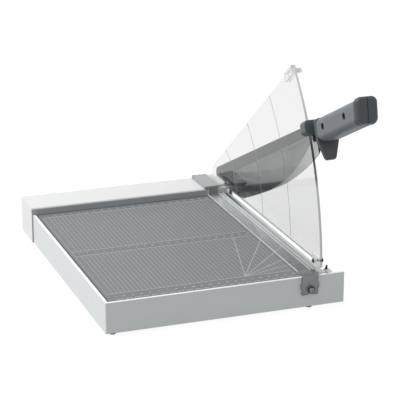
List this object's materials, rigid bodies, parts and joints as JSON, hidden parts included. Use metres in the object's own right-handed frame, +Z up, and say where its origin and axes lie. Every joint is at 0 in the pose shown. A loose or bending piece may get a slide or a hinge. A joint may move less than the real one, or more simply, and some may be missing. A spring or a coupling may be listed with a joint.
{
  "type": "guillotine paper cutter",
  "caption": "Desk guillotine with a sheet-steel table, a curved blade on a pivoted arm with a grip handle, a clear blade guard and a hinged clear paper clamp.",
  "frame": {"origin": "middle of the whole cutter's box, on the surface that its feet stand on, with the arm raised as in the picture", "axes": "+X to the blade side, +Y from the front apron to the back rail, +Z up"},
  "size_m": [0.2832, 0.453, 0.2647],
  "materials": {
    "painted_light": "satin powder coat",
    "rail_paint": "satin powder coat",
    "table_print": "satin, printed with a pale grid",
    "zinc_steel": "zinc plated",
    "knife_steel": "ground",
    "blade_steel": "fine ground",
    "bar_steel": "satin grey coat",
    "die_cast": "as cast",
    "bush_bronze": "machined",
    "fence_dark": "matte",
    "foot_rubber": "matte",
    "buffer_rubber": "matte",
    "guard_clear": "clear, polished",
    "bracket_clear": "clear, moulded",
    "screw_black": "black oxide",
    "guide_grey": "matte",
    "collar_grey": "fine grain",
    "grip_grey": "fine grain",
    "butt_grey": "soft touch",
    "strip_clear": "clear, polished",
    "smoked": "smoked",
    "smoked_plate": "smoked"
  },
  "bodies": {
    "base": {"base_frame": "painted_light", "table_plate": "table_print", "table_channels": "zinc_steel", "side_channel": "painted_light", "lower_knife": "knife_steel", "knife_screws": "zinc_steel", "back_rail": "rail_paint", "paper_fence": "fence_dark", "rail_brackets": "zinc_steel", "rubber_feet": "foot_rubber", "pivot_plate": "zinc_steel", "pivot_block": "die_cast", "plate_screws": "zinc_steel", "pivot_bolt": "zinc_steel", "pivot_nut": "zinc_steel", "friction_washer": "zinc_steel", "guard": "guard_clear", "guard_front_bracket": "bracket_clear", "guard_screws": "screw_black", "stop_clip": "bracket_clear", "blade_guide": "guide_grey", "guide_nub": "buffer_rubber", "clamp_guide_screw": "screw_black", "hinge_lugs": "fence_dark", "clamp_pin": "zinc_steel"},
    "arm": {"blade": "blade_steel", "arm_bar": "bar_steel", "blade_rivets": "zinc_steel", "pivot_bush": "bush_bronze", "arm_collar": "collar_grey", "arm_buffer": "buffer_rubber", "finger_guard": "collar_grey", "grip_left": "grip_grey", "grip_right": "grip_grey", "handle_butt": "butt_grey", "handle_screws": "screw_black"},
    "clamp": {"clamp_strip": "strip_clear", "clamp_front_bracket": "smoked", "clamp_rear_plate": "smoked_plate"}
  },
  "joints": [
    {"name": "arm_hinge", "type": "hinge", "parent": "base", "child": "arm", "pos_m": [0.12625, 0.19792, 0.031], "axis": [-1, 0, 0], "range_deg": [-25.5, 9.5]},
    {"name": "clamp_hinge", "type": "hinge", "parent": "base", "child": "clamp", "pos_m": [0.09605, 0.21682, 0.0499], "axis": [-1, 0, 0], "range_deg": [0, 0.6]}
  ]
}
